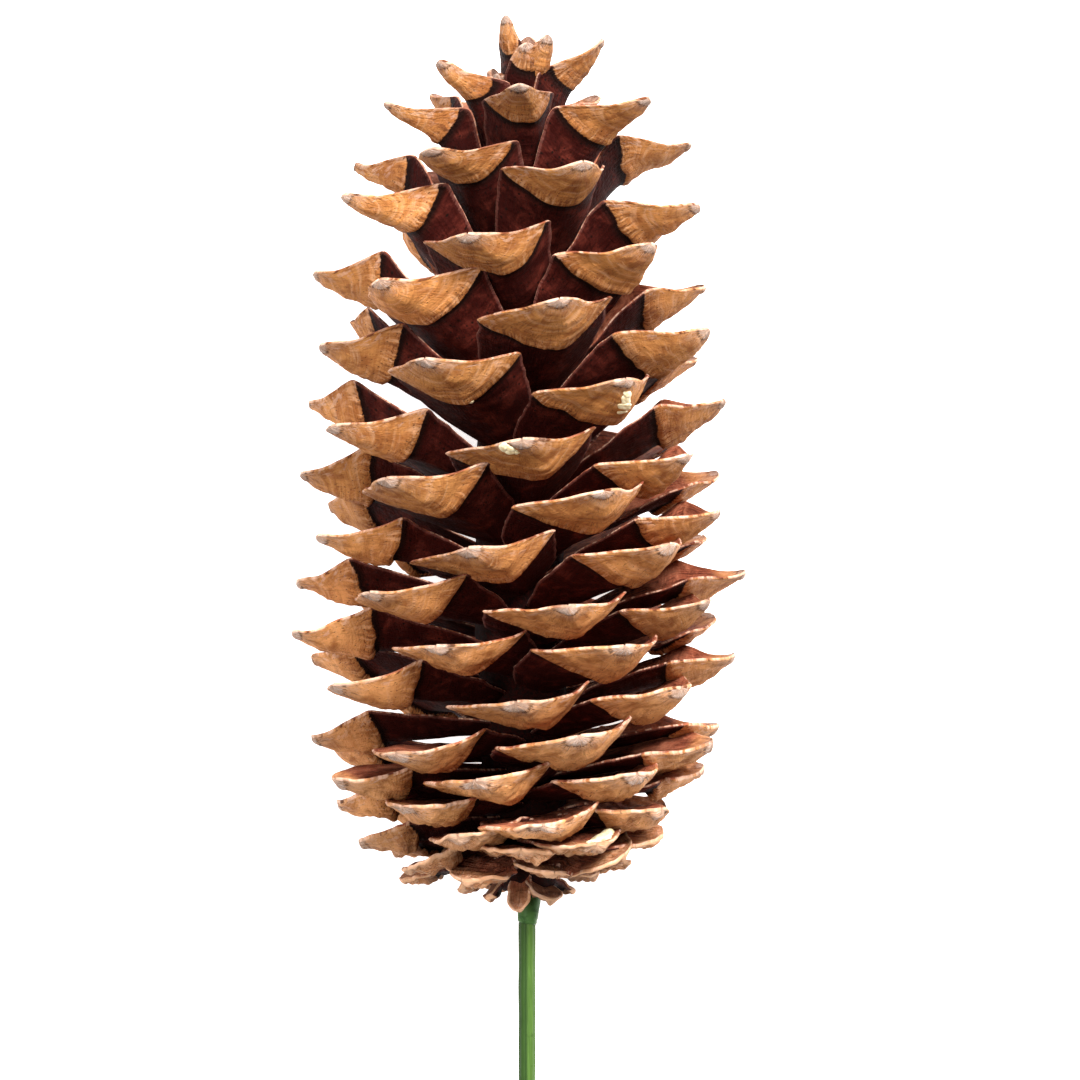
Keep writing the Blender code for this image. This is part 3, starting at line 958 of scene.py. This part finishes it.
# Marks laid over a scale's parts in turn: a colour, and ranges of patterns with the strength at each end
GROWTH_LINES = [
    (TAN_PALE, ("arcs", 0.50, 0.70, 0.0, 0.50)),
    (TAN_DEEP, ("arcs", 0.48, 0.34, 0.0, 0.6)),
]
TAN_MARKS = [
    # Painted shade: deeper tan towards the border of the outer part
    (TAN_DEEP, ("past_border", 9.0, 1.0, 0.0, 0.45)),
    (TAN_DARK, ("streaks", 0.54, 0.70, 0.0, 0.55)),
    (TAN_DARK, ("fine", 0.54, 0.66), ("past_border", 7.0, 1.0, 0.15, 0.9)),
    (TAN_DARK, ("wrinkles", 0.54, 0.68, 0.0, 0.8), ("past_border", 7.0, 0.5)),
    (TAN_PALE, ("wrinkles", 0.47, 0.34, 0.0, 0.6), ("past_border", 7.0, 0.5)),
    (SPECK, ("specks", 0.10, 0.17, 0.8, 0.0)),
    # Paler near the tip: partly wear, partly a painted highlight
    (PALE_WEAR_AND_HIGHLIGHT, ("from_tip", 8.0, 1.5, 0.0, 0.40), ("fine", 0.40, 0.58)),
    (SPECK, ("from_tip", 6.0, 2.0), ("streaks", 0.57, 0.63, 0.0, 0.85)),
    # Pale patches near the margins: partly wear, partly a painted highlight
    (PALE_WEAR_AND_HIGHLIGHT, ("patches", 0.52, 0.64, 0.0, 0.45), ("from_margin", 5.0, 0.5)),
]
# A painted highlight: a thin pale line along the margins, on the outer part and on the upper face
RIM_HIGHLIGHT_MARK = (RIM_HIGHLIGHT, ("rim", 0.55, 0.95, 0.75, 0.0), ("patches", 0.44, 0.58))
POINT_MARKS = [
    (SPECK, ("umbo_ring", 0.10, 0.35, 0.75, 0.0), ("patches", 0.42, 0.56)),
    RIM_HIGHLIGHT_MARK,
    (TAN_DARK, ("patches", 0.42, 0.34), ("rim", 0.70, 1.10, 1.0, 0.0)),
]
# Weathering of the base scales, with painted shade and painted highlights
BASE_WEATHER_SHADE_AND_HIGHLIGHT_MARKS = [
    (BASAL_PALE, ("patches", 0.46, 0.62, 0.0, 0.8)),
    (BASAL_DARK, ("streaks", 0.56, 0.66, 0.0, 0.8)),
    # Painted shade: the base flakes darker towards the border of their outer part
    (BASAL_DARK, ("past_border", 1.0, 8.0, 0.85, 0.0)),
    # Painted highlight: pale along the base flakes' edges
    (BASAL_PALE, ("rim", 0.90, 1.50, 0.9, 0.0)),
]
CLAW_MARKS = [
    (BAND, ("streaks", 0.52, 0.72, 0.0, 0.5)),
    (BAND, ("dots", 0.13, 0.22, 0.9, 0.0)),
    # Painted shadow: nearly black along the border, under the stepped outer part
    (BAND, ("past_border", -3.6, -0.6, 0.0, 0.92)),
    # Painted highlight: a thin lighter line along the claw's margin
    (CLAW_RIM_HIGHLIGHT, ("rim", 0.60, 0.90, 0.55, 0.0)),
]
FACE_MARKS = [
    (FACE_LIGHT, ("clouds", 0.42, 0.66, 0.0, 0.6)),
    (FACE_YOUNG, ("grown", 0.78, 0.92, 0.0, 0.7)),
]


def lay_over(tree, at, colour, marks):
    """A colour with marks laid over it in turn, each as strong as the product of its ranges."""
    for other, *ranges in marks:
        share = 1.0
        for name, *limits in ranges:
            strength = between(tree, at[name], *limits)
            share = strength if share == 1.0 else number(tree, "MULTIPLY", share, strength)
        colour = blend(tree, share, colour, other)
    return colour


def scale_patterns(tree):
    """What a scale's colours are mixed by: its own values, and noise along its grain and its growth arcs."""
    grain = attribute(tree, "grain", "Vector")
    growth = attribute(tree, "arcs", "Vector")
    own = ("luck", "past_border", "from_tip", "from_umbo", "from_margin", "upper", "grown")
    at = {name: attribute(tree, name) for name in own}
    at["streaks"] = noise(tree, times(tree, grain, (1.5, 0.20, 1.0)), 1.0, 4.0, 0.65, 0.4)
    at["clouds"] = noise(tree, times(tree, grain, (0.17, 0.17, 1.0)), 1.0, 5.0, 0.62, 0.5)
    at["fine"] = noise(tree, times(tree, grain, (1.5, 1.5, 1.0)), 1.0, 4.0, 0.65)
    at["patches"] = noise(tree, times(tree, grain, (0.42, 0.42, 1.0)), 1.0, 3.0, 0.6)
    at["arcs"] = noise(tree, times(tree, growth, (0.05, 0.60, 1.0)), 1.0, 3.0, 0.6, 0.15)
    at["wrinkles"] = noise(tree, times(tree, growth, (1.15, 0.14, 1.0)), 1.0, 2.0, 0.5, 0.15)
    at["specks"] = cells(tree, times(tree, grain, (0.85, 0.55, 1.0)), 1.0)
    at["dots"] = cells(tree, times(tree, grain, (0.50, 0.42, 1.0)), 1.0)
    at["ragged"] = number(tree, "ADD", at["from_umbo"], number(tree, "MULTIPLY_ADD", at["fine"], 1.1, -0.55))
    at["umbo_ring"] = number(tree, "ABSOLUTE", number(tree, "SUBTRACT", at["ragged"], 1.2))
    at["rim"] = number(tree, "ADD", at["from_margin"], number(tree, "MULTIPLY", at["fine"], 1.2))
    at["edge"] = number(tree, "ADD", at["past_border"], number(tree, "MULTIPLY_ADD", at["fine"], 1.6, -0.8))
    return at


def tan_wood(tree, at):
    """The outer part: tan with growth lines, creases and scuffs, a grey point, and weathered at the base;
    painted light on the lower rows, painted shade towards the border, and painted highlights near the tip and
    on the rims.
    """
    tan = blend(tree, between(tree, at["clouds"], 0.34, 0.62), TAN_DEEP, TAN)
    tan = lay_over(tree, at, tan, GROWTH_LINES)
    # Painted light: the lower rows are brighter
    lit_low_tan = blend(tree, between(tree, at["clouds"], 0.3, 0.6), TAN_DEEP, TAN_LIT_LOW_ROWS)
    tan = blend(tree, between(tree, at["grown"], 0.66, 0.30, 0.0, 0.70), tan, lit_low_tan)
    tan = lay_over(tree, at, tan, TAN_MARKS)
    umbo = blend(tree, between(tree, at["fine"], 0.42, 0.58), UMBO_PALE, UMBO_GREY)
    tan = lay_over(tree, at, tan, [(umbo, ("ragged", 1.15, 0.80), ("patches", 0.36, 0.54, 0.35, 0.85))])
    tan = lay_over(tree, at, tan, POINT_MARKS)
    weathered_shaded_and_lit = blend(tree, between(tree, at["fine"], 0.38, 0.50), BASAL_DARK, BASAL)
    weathered_shaded_and_lit = lay_over(tree, at, weathered_shaded_and_lit, BASE_WEATHER_SHADE_AND_HIGHLIGHT_MARKS)
    return blend(tree, between(tree, at["grown"], 0.24, 0.12, 0.0, 0.8), tan, weathered_shaded_and_lit)


def claw_wood(tree, at):
    """The underside nearer the core: dark red-brown with dots, and a painted shadow, nearly black, along the
    border.
    """
    claw = blend(tree, between(tree, at["clouds"], 0.44, 0.78), DARK, DARK_LIGHT)
    return lay_over(tree, at, claw, CLAW_MARKS)


def face_wood(tree, at, tan):
    """The upper face: orange-brown and streaked, with tan near the tip and a painted highlight along its rim.
    """
    face = blend(tree, between(tree, at["streaks"], 0.35, 0.65), FACE, FACE_DEEP)
    face = lay_over(tree, at, face, FACE_MARKS)
    return lay_over(tree, at, face, [(tan, ("from_tip", 5.0, 11.0, 0.7, 0.0)), RIM_HIGHLIGHT_MARK])


def scale_material():
    """The scales: tan outside with a grey point, dark red-brown claws and orange-brown faces."""
    material, tree, shader = new_material("cone_scale_wood")
    at = scale_patterns(tree)
    tan = tan_wood(tree, at)
    outside = blend(tree, between(tree, at["edge"], -0.15, 0.25), claw_wood(tree, at), tan)
    colour = blend(tree, between(tree, at["upper"], 0.35, 0.65), outside, face_wood(tree, at, tan))
    shade = number(tree, "MULTIPLY_ADD", at["luck"], 0.30, 0.85)
    # Painted shade: the top rows are darker
    shade = number(tree, "MULTIPLY", shade, between(tree, at["grown"], 0.74, 0.94, 1.0, 0.80))
    colour = blend(tree, 1.0, colour, shade, "MULTIPLY")
    paint(tree, shader, colour, between(tree, at["fine"], 0.3, 0.7, 0.55, 0.78), 0.05)
    near_border = between(tree, at["past_border"], 7.0, 0.5)
    relief = number(tree, "MULTIPLY_ADD", at["streaks"], -0.8, at["fine"])
    relief = number(tree, "MULTIPLY_ADD", at["arcs"], 1.6, relief)
    relief = number(tree, "MULTIPLY_ADD", number(tree, "MULTIPLY", at["wrinkles"], near_border), -1.2, relief)
    add_bump(tree, shader, relief, 0.0006, 0.9)
    return material


def core_material():
    material, tree, shader = new_material("cone_core_wood")
    place = own_place(tree)
    rough = noise(tree, place, 900.0, 5.0, 0.65)
    colour = blend(tree, between(tree, rough, 0.35, 0.65), BAND, DARK)
    paint(tree, shader, colour, between(tree, rough, 0.3, 0.7, 0.75, 0.9), 0.1)
    add_bump(tree, shader, rough, 0.0004)
    return material


SHEATH_GREEN = (0.068, 0.135, 0.024)
# Painted shade: the darker green of the sheath's left side
SHEATH_PAINTED_SHADE = (0.027, 0.064, 0.010)
SHEATH_DARK = (0.013, 0.034, 0.006)
COLLAR_GREEN = (0.056, 0.130, 0.032)
COLLAR_DARK = (0.022, 0.064, 0.014)
STEEL = (0.55, 0.55, 0.56)
STEEL_DARK = (0.28, 0.28, 0.29)
RESIN_PALE = (0.86, 0.78, 0.52)
RESIN_DEEP = (0.66, 0.50, 0.26)
GLUE_PALE = (0.58, 0.50, 0.41)
GLUE_DEEP = (0.40, 0.31, 0.23)
# Where the painted shade of the sheath's left side meets its lighter right side, with a dark line
SHADE_LINE_PLACE = -0.13
SHADE_LINE_WIDTH = 0.10


def sheath_material():
    """Satin green plastic with fine draw lines along it and dirt; painted shade darkens its left side, a line
    where its sides meet, and its grooves.
    """
    material, tree, shader = new_material("green_sheath_plastic")
    place = own_place(tree)
    lines = noise(tree, times(tree, place, (2600.0, 26.0, 2600.0)), 1.0, 3.0, 0.6)
    dirt = noise(tree, place, 420.0, 4.0, 0.6)
    groove = attribute(tree, "groove")
    to_right = attribute(tree, "to_right")
    # Painted shade and light: darker on the left, lighter on the right
    painted_lit_side = between(tree, to_right, SHADE_LINE_PLACE - 0.05, SHADE_LINE_PLACE + 0.15)
    colour = blend(tree, painted_lit_side, SHEATH_PAINTED_SHADE, SHEATH_GREEN)
    # Painted shade: a dark line where the two sides meet
    off_shade_line = number(tree, "ABSOLUTE", number(tree, "SUBTRACT", to_right, SHADE_LINE_PLACE))
    colour = blend(tree, between(tree, off_shade_line, 0.0, SHADE_LINE_WIDTH, 0.9, 0.0), colour, SHEATH_DARK)
    colour = blend(tree, between(tree, lines, 0.3, 0.7, 0.0, 0.4), colour, SHEATH_DARK)
    # Painted shade: darker in the grooves
    colour = blend(tree, between(tree, groove, 0.35, 0.95, 0.0, 0.5), colour, SHEATH_DARK)
    colour = blend(tree, between(tree, dirt, 0.58, 0.72, 0.0, 0.5), colour, SHEATH_DARK)
    paint(tree, shader, colour, between(tree, dirt, 0.3, 0.7, 0.42, 0.6), 0.12)
    add_bump(tree, shader, lines, 0.00006)
    return material


def collar_material():
    """Moulded green plastic with scuffs and a smudged lower lip."""
    material, tree, shader = new_material("green_collar_plastic")
    place = own_place(tree)
    smudge = noise(tree, place, 350.0, 4.0, 0.6, 0.6)
    fine = noise(tree, place, 2400.0, 3.0, 0.6)
    colour = blend(tree, between(tree, smudge, 0.48, 0.68, 0.0, 0.8), COLLAR_GREEN, COLLAR_DARK)
    colour = blend(tree, between(tree, fine, 0.60, 0.75, 0.0, 0.5), colour, SHEATH_GREEN)
    paint(tree, shader, colour, between(tree, smudge, 0.3, 0.7, 0.38, 0.6), 0.12)
    add_bump(tree, shader, smudge, 0.0001)
    return material


def wire_material():
    """Drawn steel, with fine lines along the wire."""
    material, tree, shader = new_material("drawn_steel")
    place = own_place(tree)
    lines = noise(tree, times(tree, place, (5200.0, 60.0, 5200.0)), 1.0, 3.0, 0.6)
    roughness = between(tree, lines, 0.3, 0.7, 0.28, 0.45)
    paint(tree, shader, blend(tree, lines, STEEL_DARK, STEEL), roughness)
    shader.inputs["Metallic"].default_value = 1.0
    add_bump(tree, shader, lines, 0.00003)
    return material


def drop_material(name, pale, deep, roughness):
    """Dried resin or glue, clouded inside."""
    material, tree, shader = new_material(name)
    place = own_place(tree)
    cloud = noise(tree, place, 1100.0, 4.0, 0.6)
    paint(tree, shader, blend(tree, between(tree, cloud, 0.35, 0.65), deep, pale), roughness)
    add_bump(tree, shader, cloud, 0.0002)
    return material


# The photograph's view, light and floor
FLOOR_SIZE = 6.0
FLOOR_DROP = 0.00002
FLOOR_GLOW = 0.75
FLOOR_COLOUR = (0.93, 0.93, 0.925)
FLOOR_PALE = (0.95, 0.95, 0.95)
KEY_PLACE = (1.05, -2.65, 2.05)
KEY_SIZE = 1.3
KEY_WATTS = 335.0
FILL_PLACE = (-1.5, -2.9, 0.1)
FILL_SIZE = 2.2
FILL_WATTS = 78.0
WORLD_STRENGTH = 0.16
LIGHT_AIM = Vector((0.0, 0.0, 0.125))


def camera_place():
    """The camera's place in the cone's own frame, level with the middle of the photograph."""
    middle = FRAME_PIXELS / 2
    return Vector(((middle - STEM_COLUMN) * PIXEL, -CAMERA_DISTANCE, (BASE_ROW - middle) * PIXEL))


def set_camera():
    camera = bpy.data.cameras.new("camera")
    camera.sensor_width = SENSOR_MM
    camera.lens = SENSOR_MM * CAMERA_DISTANCE / (FRAME_PIXELS * PIXEL)
    camera.clip_start = 0.1
    camera.clip_end = 20.0
    obj = add_object("camera", camera)
    obj.matrix_world = LYING @ Matrix.Translation(camera_place()) @ Matrix.Rotation(math.radians(90), 4, "X")
    bpy.context.scene.camera = obj


def add_light(name, place, size, watts):
    light = bpy.data.lights.new(name, "AREA")
    light.shape = "DISK"
    light.size = size
    light.energy = watts
    obj = add_object(name, light)
    obj.location = LYING @ Vector(place)
    obj.rotation_euler = (LYING @ LIGHT_AIM - obj.location).to_track_quat("-Z", "Y").to_euler()


def set_light():
    add_light("key", KEY_PLACE, KEY_SIZE, KEY_WATTS)
    add_light("fill", FILL_PLACE, FILL_SIZE, FILL_WATTS)
    world = bpy.data.worlds.new("studio")
    world.use_nodes = True
    background = world.node_tree.nodes["Background"]
    background.inputs["Color"].default_value = (1.0, 1.0, 1.0, 1.0)
    background.inputs["Strength"].default_value = WORLD_STRENGTH
    bpy.context.scene.world = world
    bpy.context.scene.view_settings.view_transform = "Standard"


def make_floor():
    half = FLOOR_SIZE / 2
    corners = [(x * half, y * half, -FLOOR_DROP) for x, y in ((-1, -1), (1, -1), (1, 1), (-1, 1))]
    floor = make_mesh_piece("floor", corners, [[0, 1, 2, 3]])
    material, tree, shader = new_material("pale_floor")
    place = own_place(tree)
    paint(tree, shader, blend(tree, noise(tree, place, 3.0), FLOOR_COLOUR, FLOOR_PALE), 0.9)
    shader.inputs["Emission Color"].default_value = (1.0, 1.0, 1.0, 1.0)
    shader.inputs["Emission Strength"].default_value = FLOOR_GLOW
    floor.data.materials.append(material)


def dress(piece, node, material):
    """A piece gets its material and takes its place on the frame."""
    piece.data.materials.append(material)
    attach(piece, "root")
    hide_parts(node)


PIECE_NAMES = ["scales_base", "scales_lower", "scales_middle", "scales_upper", "scales_tip"]


def build_cone():
    """The core and all scales, in a few pieces. Gives back a tree for finding places on them."""
    scales = grow_scales()
    wood = scale_material()
    for i, name in enumerate(PIECE_NAMES):
        own = scales[i * SCALES_PER_PIECE : (i + 1) * SCALES_PER_PIECE]
        dress(make_scales_piece(name, own), "cone", wood)
    dress(make_core(), "cone", core_material())
    faces, _ = scale_faces()
    count = ROWS * len(RING_ACROSS)
    verts = np.concatenate([s["points"].reshape(-1, 3) for s in scales])
    all_faces = np.concatenate([faces + i * count for i in range(len(scales))])
    return BVHTree.FromPolygons(verts.tolist(), all_faces.tolist())


def build_stem():
    dress(make_sheath(), "stem_sheath", sheath_material())
    dress(make_collar(), "stem_collar", collar_material())
    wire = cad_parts["stem_wire"]
    for slot in wire.material_slots:
        slot.material = wire_material()


def build_drops(tree):
    resin = make_drops("resin", RESIN_DROPS, tree, SEED + 4)
    dress(resin, "cone", drop_material("dried_resin", RESIN_PALE, RESIN_DEEP, 0.35))
    glue = make_drops("glue", GLUE_DROPS, tree, SEED + 5)
    dress(glue, "cone", drop_material("dried_glue", GLUE_PALE, GLUE_DEEP, 0.5))


set_camera()
set_light()
make_floor()
surface = build_cone()
build_stem()
build_drops(surface)
